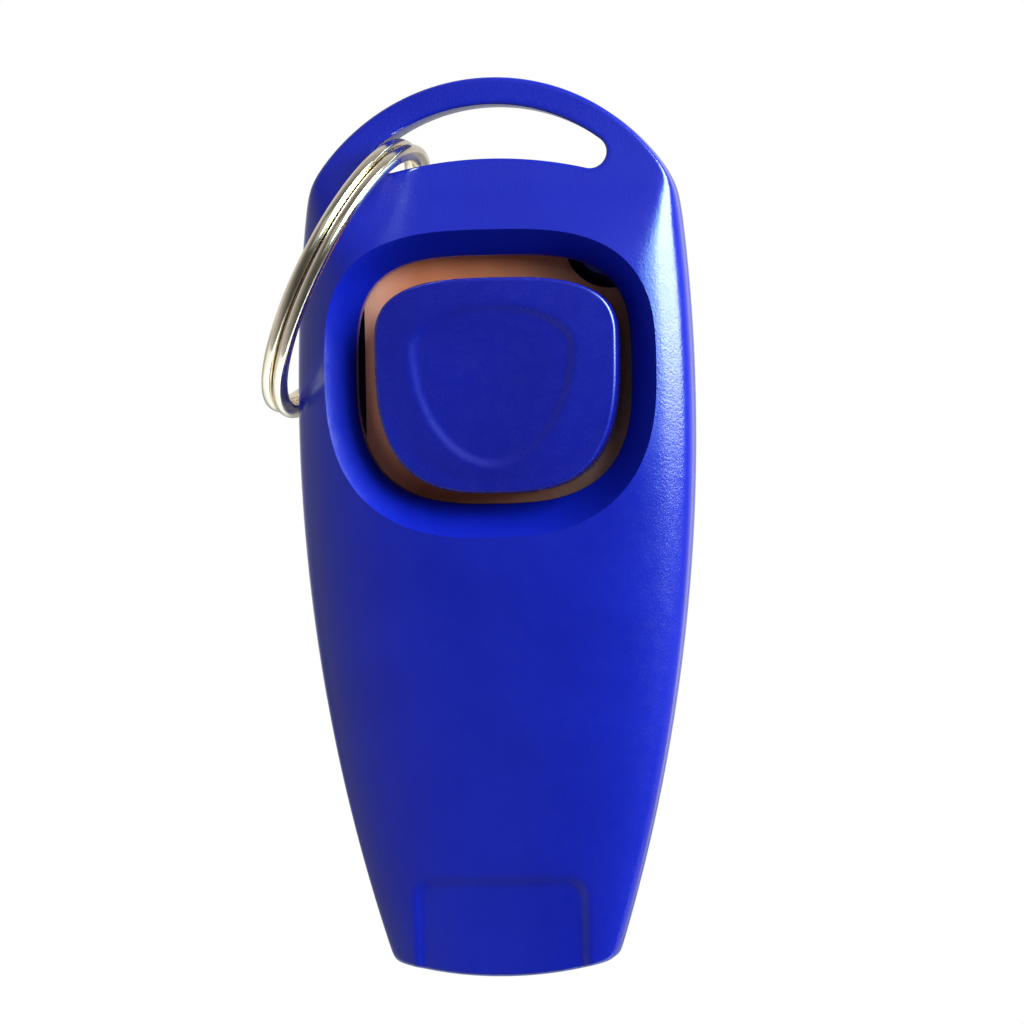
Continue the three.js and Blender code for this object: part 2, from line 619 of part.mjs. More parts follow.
// Two flat turns side by side, joined by a kink. The wire's two ends stop at either side of the kink.
function splitRing() {
  const { radius, radial, turn, gap, kinkDeg, endDeg, kinkAt } = RING;
  const section = wireSection(radial, turn);
  const [from, to] = [endDeg, 720 - endDeg];
  const steps = 96;
  const loops = [];
  for (let k = 0; k <= steps; k++) {
    const degrees = from + ((to - from) * k) / steps;
    const angle = THREE.MathUtils.degToRad(kinkAt + degrees);
    const across = THREE.MathUtils.smoothstep(degrees, 360 - kinkDeg, 360 + kinkDeg) - 0.5;
    loops.push(
      section.map(([r, z]) => new THREE.Vector3(
        (radius + r) * Math.cos(angle),
        (radius + r) * Math.sin(angle),
        z + across * (turn + gap),
      )),
    );
  }
  return skin(loops);
}

// ---------------------------------------------------------------- assembly
const clicker = new THREE.Group();
clicker.name = "clicker_trainer";
clicker.position.z = -HANG_HEIGHT;

function add(name, shape, material, parent = clicker) {
  const geometry = shape.isBufferGeometry ? shape.toNonIndexed() : geometryOf(shape);
  geometry.computeVertexNormals();
  const mesh = new THREE.Mesh(geometry, material);
  mesh.name = name;
  parent.add(mesh);
  return mesh;
}

add("front_shell", frontShell(), BLUE);
add("back_shell", backShell(), BLUE);
add("click_button", clickButton(), BUTTON_BLUE);
add("button_screw", buttonScrew(), ZINC_STEEL);
add("click_leaf", clickLeaf(), TEMPERED_STEEL);
add("leaf_clamp_bar", clampBar(), ZINC_STEEL);
add("leaf_screw_left", leafScrew(-1), ZINC_STEEL);
add("leaf_screw_right", leafScrew(1), ZINC_STEEL);
add("windway_block", windwayBlock(), INNER_BLUE);
add("resonance_tub", resonanceTub(), INNER_BLUE);
for (const place of CASE_SCREWS) add(place.name, caseScrew(place), ZINC_STEEL);

// The ring's own frame: X points from its middle to its far side, Z along its axis.
const ringHolder = new THREE.Group();
const { lean: leanDeg, twist: twistDeg, pitch: pitchDeg } = RING_PLACE;
const [lean, twist, pitch] = [leanDeg, twistDeg, pitchDeg].map(THREE.MathUtils.degToRad);
const farSide = new THREE.Vector3(-Math.sin(lean), 0, -Math.cos(lean));
const forward = new THREE.Vector3(-Math.sin(twist), -1, Math.sin(pitch));
const axle = new THREE.Vector3().crossVectors(farSide, forward).normalize();
forward.crossVectors(axle, farSide);
ringHolder.quaternion.setFromRotationMatrix(new THREE.Matrix4().makeBasis(farSide, forward, axle));
ringHolder.position.set(RING_PLACE.x, RING_PLACE.y, RING_PLACE.height);
clicker.add(ringHolder);
add("split_ring", splitRing(), NICKEL, ringHolder);

export default clicker;
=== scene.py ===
"""A dog-training clicker with a whistle in its mouth end and a split ring through its top slot.

The frame is in metres with +Z up. The button faces -Y and the shells meet on the plane Y = 0. The pieces are
drawn in millimetres as (across, depth, height), with heights measured up from the tip of the mouthpiece, and
are lowered into the frame as their meshes are made.
"""
import math

import bmesh
import bpy
import numpy as np
from mathutils import Matrix, Vector
from mathutils.geometry import delaunay_2d_cdt


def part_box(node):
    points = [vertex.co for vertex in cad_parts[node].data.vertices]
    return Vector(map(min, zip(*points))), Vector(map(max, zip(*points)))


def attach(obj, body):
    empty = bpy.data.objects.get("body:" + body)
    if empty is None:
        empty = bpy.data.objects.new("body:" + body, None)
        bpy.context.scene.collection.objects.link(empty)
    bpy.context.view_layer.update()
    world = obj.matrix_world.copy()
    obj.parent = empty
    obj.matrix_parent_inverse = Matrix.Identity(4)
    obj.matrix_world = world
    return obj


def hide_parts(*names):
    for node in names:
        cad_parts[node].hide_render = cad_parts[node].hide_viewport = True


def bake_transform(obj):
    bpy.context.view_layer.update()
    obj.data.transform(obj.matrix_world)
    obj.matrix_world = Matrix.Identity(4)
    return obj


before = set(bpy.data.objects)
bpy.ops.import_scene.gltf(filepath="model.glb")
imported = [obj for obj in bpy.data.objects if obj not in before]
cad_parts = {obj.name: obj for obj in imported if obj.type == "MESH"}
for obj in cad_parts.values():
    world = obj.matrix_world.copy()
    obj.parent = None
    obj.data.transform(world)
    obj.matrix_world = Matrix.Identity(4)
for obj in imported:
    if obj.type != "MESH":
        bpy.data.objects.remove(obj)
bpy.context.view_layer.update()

MM = 0.001
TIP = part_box("front_shell")[0][2]  # the mouthpiece's tip in the frame
MIDDLE = Vector((0, 0, TIP / 2))

# ---------------------------------------------------------------- driving dimensions, in millimetres
LENGTH = (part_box("front_shell")[1][2] - TIP) / MM
HALF_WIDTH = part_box("front_shell")[1][0] / MM
WIDEST_HEIGHT = 50.5
SIDE_RADIUS = 160
TOP_RADIUS = 18.5
MOUTH_RADIUS = 36
CORNER_SOFTNESS = 0.3
WALL = 1.3
SEAM_EASE = 0.12  # the shells touch, and their meeting edges are rounded by this much
EDGE_FILLET = 0.35
OUTSIDE = 9  # a depth past either face of the body
CAVITY = dict(inset=WALL + 0.3, top=69.6, top_radius=34, bottom=1.6)
FRONT_SQUARENESS = 3.2  # of the crown across the body
BACK_SQUARENESS = 2.2
BACK_PLATEAU = 0.5  # the share of the back's half width that is level
SLOPE_SOFTNESS = 0.42  # rounding of the crease where the slope to the slot starts
FRONT_HOLLOW = 1.2  # the front's inside is at least this far from the seam plane
BACK_HOLLOW = 1.1
HOLLOW_RISE = 3.5  # how fast the front's inside rises away from the bevel

SLOT_TOP_HEIGHT = -TIP / MM
SLOT_TOP_RADIUS = 16.2
SLOT_BOTTOM_HEIGHT = 72.7
SLOT_BOTTOM_RADIUS = 36
SLOT_END_RADIUS = 1.45
SLOT_FILLET = 0.3
BITE = dict(half_width=7.5, top=8.6, corner=1.5, depth=0.32)  # the sunk land for the teeth
BITE_STEP = (-0.45, 0.35)  # its soft step lies this far inside and outside its edge

RIM_HEIGHT = 2.4
WINDOW = dict(centre=53.9, a=12.3, up=10.2, down=11.85, n_up=3.4, n_down=2.9)
BEVEL = dict(centre=53.9, a=14.8, up=12.4, down=14.9, n_up=3.0, n_down=2.6)
BUTTON = dict(centre=56.1, a=10.78, up=5.9, down=13.15, n_up=3.0, n_down=2.95)
DISH = dict(centre=55.8, a=7.15, up=3.6, down=10.3, n_up=2.05, n_down=1.95)
WINDOW_FILLET = 0.2

BUTTON_X = 0.55  # the button sits a little right of the window's middle
BUTTON_FACE = 5.9  # the edge of its face above the seam plane
BUTTON_DOME = 0.4
BUTTON_FOOT = 1.7
BUTTON_ROOF = BUTTON_FACE - 1.1
BUTTON_FILLET = 0.3
BUTTON_SKIRT = 1.3
BUTTON_SPAN = (42, 63)  # heights that take the whole button in
DOME_HEIGHT = BUTTON["centre"] - 1.6
DISH_X = -0.27  # from the button's own middle
DISH_STEP = 0.22
DISH_EASE = (-0.45, 0.6)  # its step lies this far outside and inside its edge
DISH_HOLLOW = 0.25
STEM = dict(x=0, height=54.5, radius=2.2, foot=0.02, bore=0.7, bore_end=2.6)

LEAF_FRONT = 0.1
LEAF_THICKNESS = 0.3
LEAF = dict(left=-11.9, right=12.7, bottom=35.6, top=67.2, corner=1.4)
LEAF_HOLES = [(BUTTON_X, STEM["height"], 1.2), (-7.2, 38, 1.2), (7.2, 38, 1.2)]
DIMPLE = dict(height=47.2, radius=3.4, rise=0.8)
CASE_SCREWS = {
    "case_screw_top": (10.3, 65.2),
    "case_screw_left": (-11.6, 30.6),
    "case_screw_right": (11.6, 30.6),
}
NOTCH = (*CASE_SCREWS["case_screw_top"], 4.1)  # in the leaf's corner, round the top screw's boss
SCREW = dict(boss=3, pilot=1.05, pilot_end=-3.7, hole=1.25, well=2.35, well_mouth=3.5, sunk=1.6)
SCREW_OUTLINE = [  # radius, and height over the head's seat, from the tip to the crest
    (0, -6.2), (0.5, -6.0), (0.98, -5.1), (0.98, 0), (1.8, 0), (1.95, 0.12),
    (1.95, 0.55), (1.88, 0.8), (1.65, 1.0), (1.3, 1.12), (0.8, 1.19), (0, 1.2),
]
CROSS = dict(long=1.15, short=0.27, deep=0.85, narrowing=0.55)
BOSS_SINK = 1.1  # a boss ends this far under the outer surface
TOP_BOSS_ROOF = -1.9  # but the top one ends under the window's bevel

PAD = dict(half_width=7.9, top=34.2, seat=1.2)  # the back shell is solid behind it
WHISTLE = dict(groove=2.4, labium=2.0, half_width=5.5, sill=14.4, lip=18.4, ramp_top=24.5)
TUB = dict(half_width=7.4, top=33.2, wall=1.0)

RING = dict(radius=12.75, radial=1.5, turn=1.08, gap=0.08, kink_deg=15, end_deg=19, kink_at=270)
WIRE_SQUARENESS = 2.9
RING_PLACE = dict(x=-13.4, y=-0.2, height=62.4, lean=27.2, twist=3.5, pitch=7.5)

# ---------------------------------------------------------------- how finely the surfaces are drawn
OUTLINE_POINTS, SLOT_POINTS, WINDOW_POINTS, CAVITY_POINTS = 960, 300, 420, 500
FINE = 0.42  # spacing of the points on the shells' outsides
COARSE = 1.1  # and on their insides
STEEP = 0.05  # how far an upright wall leans, so that its foot and its top are two edges
BEVEL_ROWS = (0.02, 0.05, 0.08, 0.16, 0.28, 0.4, 0.52, 0.64, 0.74, 0.83, 0.9, 0.96, 1.04, 1.1, 1.17, 1.25)
SHARP_DEG = 35


def in_frame(points):
    """Drawing points (across, depth, height) in millimetres as places in the frame, in metres."""
    p = np.asarray(points, float)
    return p * MM + np.array([0, 0, TIP])


# ---------------------------------------------------------------- curves and distances
def smooth_min(values, k):
    values = np.stack(np.broadcast_arrays(*values))
    least = values.min(axis=0)
    return least - k * np.log(np.exp((least - values) / k).sum(axis=0))


def oval_radius(angle, oval):
    """The radius of a squarish oval whose upper and lower halves have their own height and squareness."""
    s, c = np.sin(angle), np.cos(angle)
    b = np.where(s >= 0, oval["up"], oval["down"])
    n = np.where(s >= 0, oval["n_up"], oval["n_down"])
    return (np.abs(c / oval["a"]) ** n + np.abs(s / b) ** n) ** (-1 / n)


def inside_oval(x, height, oval):
    """Distance inwards from an oval's edge, along the ray from its middle."""
    angle = np.arctan2(height - oval["centre"], x)
    return oval_radius(angle, oval) - np.hypot(x, height - oval["centre"])


def evenly(points, count):
    """A closed run of points at equal steps along the closed curve through the given ones."""
    ring = np.vstack([points, points[:1]])
    along = np.concatenate([[0], np.cumsum(np.linalg.norm(np.diff(ring, axis=0), axis=1))])
    steps = np.arange(count) * along[-1] / count
    return np.column_stack([np.interp(steps, along, ring[:, k]) for k in range(2)])


def polar_loop(centre, radius_at, count):
    angle = np.pi / 2 - 2 * np.pi * np.arange(8 * count) / (8 * count)
    r = radius_at(angle)
    return evenly(np.column_stack([r * np.cos(angle), centre + r * np.sin(angle)]), count)


def oval_loop(oval, count):
    return polar_loop(oval["centre"], lambda angle: oval_radius(angle, oval), count)


def circle_loop(x, height, radius, count):
    angle = 2 * np.pi * np.arange(count) / count
    return np.column_stack([x + radius * np.cos(angle), height + radius * np.sin(angle)])


def from_circle(x, height, circle):
    """Distance outwards from a circle, which is (across, height, radius)."""
    return np.hypot(x - circle[0], height - circle[1]) - circle[2]


def bevel_share(x, height):
    """How far a point lies from the bevel's outer edge (0) to the window's edge (1), along the ray out."""
    angle = np.arctan2(height - BEVEL["centre"], x)
    r = np.hypot(x, height - BEVEL["centre"])
    far, near = oval_radius(angle, BEVEL), oval_radius(angle, WINDOW)
    return (far - r) / (far - near)


def side_half_width(height):
    return HALF_WIDTH - SIDE_RADIUS + np.sqrt(SIDE_RADIUS**2 - (height - WIDEST_HEIGHT) ** 2)


def inside_outline(x, height, inset=0.0, top=LENGTH, top_radius=TOP_RADIUS, bottom=0.0):
    """Distance inwards from the body's outline, or from an outline set in from it."""
    reach = HALF_WIDTH - SIDE_RADIUS
    sides = [SIDE_RADIUS - inset - np.hypot(x - side * reach, height - WIDEST_HEIGHT) for side in (-1, 1)]
    from_top = top_radius - np.hypot(x, np.maximum(height - (top - top_radius), 0))
    from_mouth = MOUTH_RADIUS - np.hypot(x, np.minimum(height - (bottom + MOUTH_RADIUS), 0))
    return smooth_min([from_top, from_mouth, *sides], CORNER_SOFTNESS)


def outline_loop(count, **kind):
    """The zero line of inside_outline, found along rays from the middle of the top arc."""
    centre = kind.get("top", LENGTH) - kind.get("top_radius", TOP_RADIUS)

    def radius_at(angle):
        low, high = np.zeros_like(angle), np.full_like(angle, LENGTH)
        for _ in range(40):
            middle = (low + high) / 2
            inside = inside_outline(middle * np.cos(angle), centre + middle * np.sin(angle), **kind) > 0
            low, high = np.where(inside, middle, low), np.where(inside, high, middle)
        return low

    return polar_loop(centre, radius_at, count)


def slot_shape():
    """The middle of the slot's right end, the middles of its long arcs, and the end's angle from each."""
    top_centre = SLOT_TOP_HEIGHT - SLOT_TOP_RADIUS
    low_centre = SLOT_BOTTOM_HEIGHT - SLOT_BOTTOM_RADIUS
    near, far = SLOT_TOP_RADIUS - SLOT_END_RADIUS, SLOT_BOTTOM_RADIUS + SLOT_END_RADIUS
    height = (far**2 - near**2 + top_centre**2 - low_centre**2) / (2 * (top_centre - low_centre))
    end_x = math.sqrt(near**2 - (height - top_centre) ** 2)
    rise = math.atan2(height - top_centre, end_x)
    fall = math.atan2(height - low_centre, end_x)
    return end_x, height, top_centre, low_centre, rise, fall


def outside_slot(x, height):
    """Distance outwards from the slot's edge."""
    end_x, end_height, top_centre, low_centre, rise, fall = slot_shape()
    from_top = np.hypot(x, height - top_centre) - (SLOT_TOP_RADIUS - SLOT_END_RADIUS)
    from_low = (SLOT_BOTTOM_RADIUS + SLOT_END_RADIUS) - np.hypot(x, height - low_centre)
    from_end = np.hypot(np.abs(x) - end_x, height - end_height)
    over = np.arctan2(height - top_centre, np.abs(x)) > rise
    under = np.arctan2(height - low_centre, np.abs(x)) > fall
    inside = (from_top < 0) & (from_low < 0)
    reach = np.minimum(np.where(over, np.abs(from_top), np.inf), np.where(under, np.abs(from_low), np.inf))
    reach = np.minimum(reach, from_end)
    return np.where(inside, -reach, reach) - SLOT_END_RADIUS


def slot_loop(count):
    end_x, end_height, top_centre, low_centre, rise, fall = slot_shape()

    def arc(x, height, radius, start, stop):
        angle = np.linspace(start, stop, 200, endpoint=False)
        return np.column_stack([x + radius * np.cos(angle), height + radius * np.sin(angle)])

    run = [
        arc(0, top_centre, SLOT_TOP_RADIUS, rise, np.pi - rise),
        arc(-end_x, end_height, SLOT_END_RADIUS, np.pi - rise, 2 * np.pi - fall),
        arc(0, low_centre, SLOT_BOTTOM_RADIUS, np.pi - fall, fall),
        arc(end_x, end_height, SLOT_END_RADIUS, fall - np.pi, rise),
    ]
    return evenly(np.vstack(run), count)


def inward(loop, distance):
    """The loop with each point moved inside it by the distance, or outside it if that is negative."""
    ahead, behind = np.roll(loop, -1, axis=0), np.roll(loop, 1, axis=0)
    tangent = ahead - behind
    normal = np.column_stack([-tangent[:, 1], tangent[:, 0]])
    normal /= np.linalg.norm(normal, axis=1)[:, None]
    area = np.sum(loop[:, 0] * ahead[:, 1] - ahead[:, 0] * loop[:, 1])
    return loop + normal * distance * np.sign(area)


# ---------------------------------------------------------------- the outer surfaces
def profile(*pairs):
    """A smooth curve through (height, value) pairs."""
    h, v = np.array(pairs, float).T
    slope = np.empty_like(v)
    slope[1:-1] = (v[2:] - v[:-2]) / (h[2:] - h[:-2])
    slope[0], slope[-1] = (v[1] - v[0]) / (h[1] - h[0]), (v[-1] - v[-2]) / (h[-1] - h[-2])

    def at(height):
        q = np.clip(height, h[0], h[-1])
        i = np.clip(np.searchsorted(h, q), 1, len(h) - 1)
        d = h[i] - h[i - 1]
        t = (q - h[i - 1]) / d
        a, b = 2 * t**3 - 3 * t**2 + 1, t**3 - 2 * t**2 + t
        return a * v[i - 1] + b * d * slope[i - 1] + (1 - a) * v[i] + (t**3 - t**2) * d * slope[i]

    return at


front_crest = profile((0, 3.4), (12, 4.3), (28, 5.7), (44, 6.6), (54, 6.8), (62, 6.8), (80, 6.8))
front_ramp = profile((54, 9.0), (60, 7.3), (64, 5.9), (68, 4.5), (72, 3.2), (76, 2.45), (80, 2.1))
front_edge = profile((0, 1.7), (20, 2.1), (60, 2.3), (80, 2.3))
back_crest = profile(
    (0, 3.3), (9, 4.6), (18, 5.8), (24, 6), (32, 6), (46, 6), (54, 6),
    (60, 5.7), (66, 4.6), (72, 2.9), (76, 2.3), (80, 2.1),
)
back_edge = profile((0, 1.7), (20, 1.6), (60, 1.6), (72, 1.7), (80, 1.7))


def crown(distance, half_width, plateau, squareness):
    """A crown's rise as a share: 1 over its level middle, falling to 0 at the edge."""
    out = 1 - np.maximum(distance, 0) / half_width
    u = np.maximum(out - plateau, 0) / (1 - plateau)
    return np.sqrt(np.maximum(1 - u**squareness, 0))


def smoothstep(x, low, high):
    t = np.clip((x - low) / (high - low), 0, 1)
    return t * t * (3 - 2 * t)


def fillet_drop(distance, radius):
    """How far a rounded edge has fallen at this distance from the wall it turns into."""
    short = np.clip(radius - distance, 0, radius)
    return radius - np.sqrt(radius**2 - short**2)


def front_base(x, height):
    """The crowned front, cut by the slope that thins the body towards its top."""
    side = side_half_width(height) - np.abs(x)
    edge = front_edge(height)
    crowned = edge + (front_crest(height) - edge) * crown(side, side_half_width(height), 0, FRONT_SQUARENESS)
    return smooth_min([crowned, front_ramp(height)], SLOPE_SOFTNESS)


def bite_share(x, height):
    """1 on the sunk land for the teeth, 0 outside it, with a soft step between."""
    w, top, r = BITE["half_width"], BITE["top"], BITE["corner"]
    across, up = np.abs(x) - (w - r), height - (top - r)
    outside = np.hypot(np.maximum(across, 0), np.maximum(up, 0)) + np.minimum(np.maximum(across, up), 0) - r
    return 1 - smoothstep(outside, *BITE_STEP)


def front_height(x, height):
    """The front's height above the seam plane, with its bevel, its bite land and its rounded edges."""
    angle = np.arctan2(height - BEVEL["centre"], x)
    far = oval_radius(angle, BEVEL)
    crest = front_base(far * np.cos(angle), BEVEL["centre"] + far * np.sin(angle))
    sloped = crest + (RIM_HEIGHT - crest) * bevel_share(x, height)
    surface = np.minimum(front_base(x, height), sloped)
    surface = surface - BITE["depth"] * bite_share(x, height)
    surface = surface - fillet_drop(-inside_oval(x, height, WINDOW), WINDOW_FILLET)
    surface = surface - fillet_drop(outside_slot(x, height), SLOT_FILLET)
    return surface - fillet_drop(inside_outline(x, height), EDGE_FILLET)


def back_height(x, height):
    side = side_half_width(height) - np.abs(x)
    up = np.maximum(height - (LENGTH - TOP_RADIUS), 0)
    distance = np.minimum(side, TOP_RADIUS - np.hypot(x, up))
    edge = back_edge(height)
    crowned = crown(distance, side_half_width(height), BACK_PLATEAU, BACK_SQUARENESS)
    surface = edge + (back_crest(height) - edge) * crowned
    surface = surface - fillet_drop(outside_slot(x, height), SLOT_FILLET)
    return surface - fillet_drop(inside_outline(x, height), EDGE_FILLET)


# ---------------------------------------------------------------- making meshes
def link(name, mesh):
    obj = bpy.data.objects.new(name, mesh)
    bpy.context.scene.collection.objects.link(obj)
    return obj


def made(name, points, faces, sharp_deg=SHARP_DEG):
    """A mesh object from drawing points and faces, with its faces turned outwards."""
    mesh = bpy.data.meshes.new(name)
    mesh.from_pydata(in_frame(points).tolist(), [], [list(map(int, f)) for f in faces])
    bm = bmesh.new()
    bm.from_mesh(mesh)
    bmesh.ops.delete(bm, geom=[v for v in bm.verts if not v.link_faces], context="VERTS")
    bmesh.ops.recalc_face_normals(bm, faces=bm.faces)
    bm.to_mesh(mesh)
    bm.free()
    smooth(mesh, sharp_deg)
    return link(name, mesh)


def smooth(mesh, sharp_deg):
    mesh.shade_smooth()
    mesh.set_sharp_from_angle(angle=math.radians(sharp_deg))


def triangulate(loops, loose, inside):
    """Triangles over flat points. The loops stay as edges; triangles whose middle is outside are dropped."""
    points = np.vstack([*loops, loose])
    edges, start, runs = [], 0, []
    for loop in loops:
        n = len(loop)
        edges += [(start + i, start + (i + 1) % n) for i in range(n)]
        runs.append((start, start + n))
        start += n
    flat, _, faces, came_from, _, _ = delaunay_2d_cdt([Vector(p) for p in points], edges, [], 0, 1e-7, True)
    new_index = np.zeros(len(points), int)
    for new, olds in enumerate(came_from):
        new_index[list(olds)] = new
    flat, faces = np.array([tuple(p) for p in flat]), np.array(faces)
    middle = flat[faces].mean(axis=1)
    faces = faces[inside(middle[:, 0], middle[:, 1])]
    return flat, faces, [new_index[a:b] for a, b in runs]


def hex_grid(low, high, step):
    """Points in rows over a flat box, with every other row half a step along."""
    rows = []
    for i, height in enumerate(np.arange(low[1], high[1], step * math.sqrt(3) / 2)):
        across = np.arange(low[0] + (i % 2) * step / 2, high[0], step)
        rows.append(np.column_stack([across, np.full(len(across), height)]))
    return np.vstack(rows)


def strip(first, second):
    """Quads between two closed runs of vertex numbers."""
    return [(a, b, d, c) for a, b, c, d in zip(first, np.roll(first, -1), second, np.roll(second, -1))]


class Stack:
    """Points and faces gathered for one closed mesh."""

    def __init__(self):
        self.points, self.faces, self.count = [], [], 0

    def add(self, points, faces=()):
        start = self.count
        self.points.append(np.asarray(points, float))
        self.count += len(points)
        self.faces += [tuple(np.asarray(f) + start) for f in faces]
        return start

    def sheet(self, triangulated, depth):
        flat, faces, loops = triangulated
        start = self.add(np.column_stack([flat[:, 0], depth(flat[:, 0], flat[:, 1]), flat[:, 1]]), faces)
        return [loop + start for loop in loops]

    def wall(self, first, rows, last):
        """Joins two edge runs by way of rows of points between them."""
        before = first
        for row in rows:
            start = self.add(row)
            here = np.arange(start, start + len(row))
            self.faces += strip(before, here)
            before = here
        self.faces += strip(before, last)

    def made(self, name, sharp_deg=SHARP_DEG):
        return made(name, np.vstack(self.points), self.faces, sharp_deg)


def at_depth(loop, depth):
    return np.column_stack([loop[:, 0], np.full(len(loop), depth), loop[:, 1]])


def fillet_offsets(radius):
    """How far in from a wall the rows of a rounded edge lie, from the wall to where the rounding ends."""
    steps = 6
    return [radius * (1 - math.cos(math.pi / 2 * k / steps)) for k in range(1, steps + 1)]


def eased(outline, side):
    """The rounded edge where a shell meets the other: from its wall in towards the seam plane."""
    rows, steps = [], 4
    for k in range(steps):
        turn = math.pi / 2 * k / steps
        moved = inward(outline, SEAM_EASE * (1 - math.cos(turn)))
        rows.append(at_depth(moved, side * SEAM_EASE * (1 - math.sin(turn))))
    return rows


def near_outline(loop, distances):
    """Rows of points inside the outline, left out where a row would crowd into a corner."""
    rows = []
    for distance in distances:
        moved = inward(loop, distance)
        rows.append(moved[inside_outline(*moved.T) > 0.85 * distance])
    return rows


def cut(piece, cutters, operation="DIFFERENCE"):
    """Joins or cuts the piece with closed cutter objects, which are used up."""
    for cutter in cutters:
        modifier = piece.modifiers.new("cut", "BOOLEAN")
        modifier.operation = operation
        modifier.solver = "EXACT"
        modifier.object = cutter
        apply_modifiers(piece)
        bpy.data.objects.remove(cutter)
    smooth(piece.data, SHARP_DEG)


def apply_modifiers(piece):
    depsgraph = bpy.context.evaluated_depsgraph_get()
    mesh = bpy.data.meshes.new_from_object(piece.evaluated_get(depsgraph))
    piece.modifiers.clear()
    piece.data = mesh


def box_cutter(low, high):
    (x0, y0, z0), (x1, y1, z1) = low, high
    points = [(x, y, z) for x in (x0, x1) for y in (y0, y1) for z in (z0, z1)]
    faces = [(0, 1, 3, 2), (4, 6, 7, 5), (0, 4, 5, 1), (2, 3, 7, 6), (0, 2, 6, 4), (1, 5, 7, 3)]
    return made("cutter", points, faces)


def turned(name, x, height, outline, segments=64):
    """A solid of revolution about a line along Y: the outline is (radius, depth) from axis to axis."""
    points, rows = [], []
    for radius, depth in outline:
        if radius == 0:
            rows.append([len(points)] * segments)
            points.append((x, depth, height))
            continue
        rows.append(list(range(len(points), len(points) + segments)))
        points += [(px, depth, ph) for px, ph in circle_loop(x, height, radius, segments)]
    faces = []
    for first, second in zip(rows, rows[1:]):
        for quad in strip(first, second):
            corners = list(dict.fromkeys(quad))
            if len(corners) > 2:
                faces.append(corners)
    return made(name, points, faces)


def rod(radius, foot, end):
    """The outline of a plain round bar, for turning."""
    return [(0, foot), (radius, foot), (radius, end), (0, end)]


def prism(outline, half_width):
    """A shape drawn in (depth, height) and run across the middle."""
    n = len(outline)
    points = [(x, y, h) for x in (-half_width, half_width) for y, h in outline]
    faces = [tuple(range(n)), tuple(range(n, 2 * n))[::-1]]
    faces += [(i, (i + 1) % n, n + (i + 1) % n, n + i) for i in range(n)]
    return made("cutter", points, faces)


# ---------------------------------------------------------------- shells
def in_body(x, height):
    return (inside_outline(x, height) > 0) & (outside_slot(x, height) > 0)


def in_front(x, height):
    return in_body(x, height) & (bevel_share(x, height) < 1)


def within_seam(x, height):
    return inside_outline(x, height) > SEAM_EASE - 0.04


def body_grid(step, from_outline, from_slot):
    """Grid points over the body that stay clear of its outline and its slot."""
    grid = hex_grid((-HALF_WIDTH, 0), (HALF_WIDTH, LENGTH), step)
    return grid[(inside_outline(*grid.T) > from_outline) & (outside_slot(*grid.T) > from_slot)]


def edge_rows(outline, slot):
    """Rows of points along the outline and the slot, where the edges are rounded."""
    rows = near_outline(outline, fillet_offsets(EDGE_FILLET) + [0.5, 0.7])
    return rows + [inward(slot, -distance) for distance in fillet_offsets(SLOT_FILLET)]


def inside_edges(outline):
    """The seam line, and the upper and lower edges of the cavity's wall."""
    cavity = outline_loop(CAVITY_POINTS, **CAVITY)
    return inward(outline, SEAM_EASE), cavity, inward(cavity, STEEP)


def inside_grid():
    grid = body_grid(COARSE, 0.7, 0.6)
    return grid[np.abs(inside_outline(*grid.T, **CAVITY)) > 0.5]


def front_inner(x, height):
    """The front shell's inside above the seam plane: level with it outside the cavity, a wall's depth in."""
    skin = np.maximum(front_base(x, height) - WALL, FRONT_HOLLOW)
    skin = np.minimum(skin, RIM_HEIGHT - WALL + np.maximum(-bevel_share(x, height), 0) * HOLLOW_RISE)
    return np.where(inside_outline(x, height, **CAVITY) > 0, skin, 0)


def front_skin():
    outline, slot = outline_loop(OUTLINE_POINTS), slot_loop(SLOT_POINTS)
    window, bevel = oval_loop(WINDOW, WINDOW_POINTS), oval_loop(BEVEL, WINDOW_POINTS)
    grid = body_grid(FINE, 0.9, 0.45)
    rows = edge_rows(outline, slot) + [window * (1 - s) + bevel * s for s in BEVEL_ROWS]
    loose = np.vstack([*rows, grid[bevel_share(*grid.T) < -0.25]])
    outer = triangulate([outline, slot, window, bevel], loose[in_front(*loose.T)], in_front)

    seam_line, cavity, ledge = inside_edges(outline)
    coarse = inside_grid()
    coarse = coarse[bevel_share(*coarse.T) < 0.8]
    edges = [seam_line, slot, window, cavity, ledge]
    inner = triangulate(edges, coarse, lambda x, h: within_seam(x, h) & in_front(x, h))

    stack = Stack()
    top = stack.sheet(outer, lambda x, h: -front_height(x, h))
    low = stack.sheet(inner, lambda x, h: -front_inner(x, h))
    stack.wall(top[0], [at_depth(outline, -1.0), *eased(outline, -1)], low[0])
    stack.wall(top[1], [], low[1])
    stack.wall(top[2], [at_depth(window, -(RIM_HEIGHT - 0.8))], low[2])
    return stack.made("front_shell_skin")


def front_boss(place):
    roof = TOP_BOSS_ROOF if place[1] > WINDOW["centre"] else BOSS_SINK - float(front_base(*place))
    return turned("boss", *place, rod(SCREW["boss"], 0, roof))


def window_plug():
    """Fills the window from outside nearly to the rim's inner face, to clear the top screw's boss away."""
    count, end = 120, RIM_HEIGHT - WALL + 0.1
    loop = oval_loop(WINDOW, count)
    stack = Stack()
    stack.add(np.vstack([at_depth(loop, -OUTSIDE), at_depth(loop, -end)]))
    first, second = np.arange(count), np.arange(count, 2 * count)
    stack.faces += [tuple(first), tuple(second)[::-1], *strip(first, second)]
    return stack.made("plug")


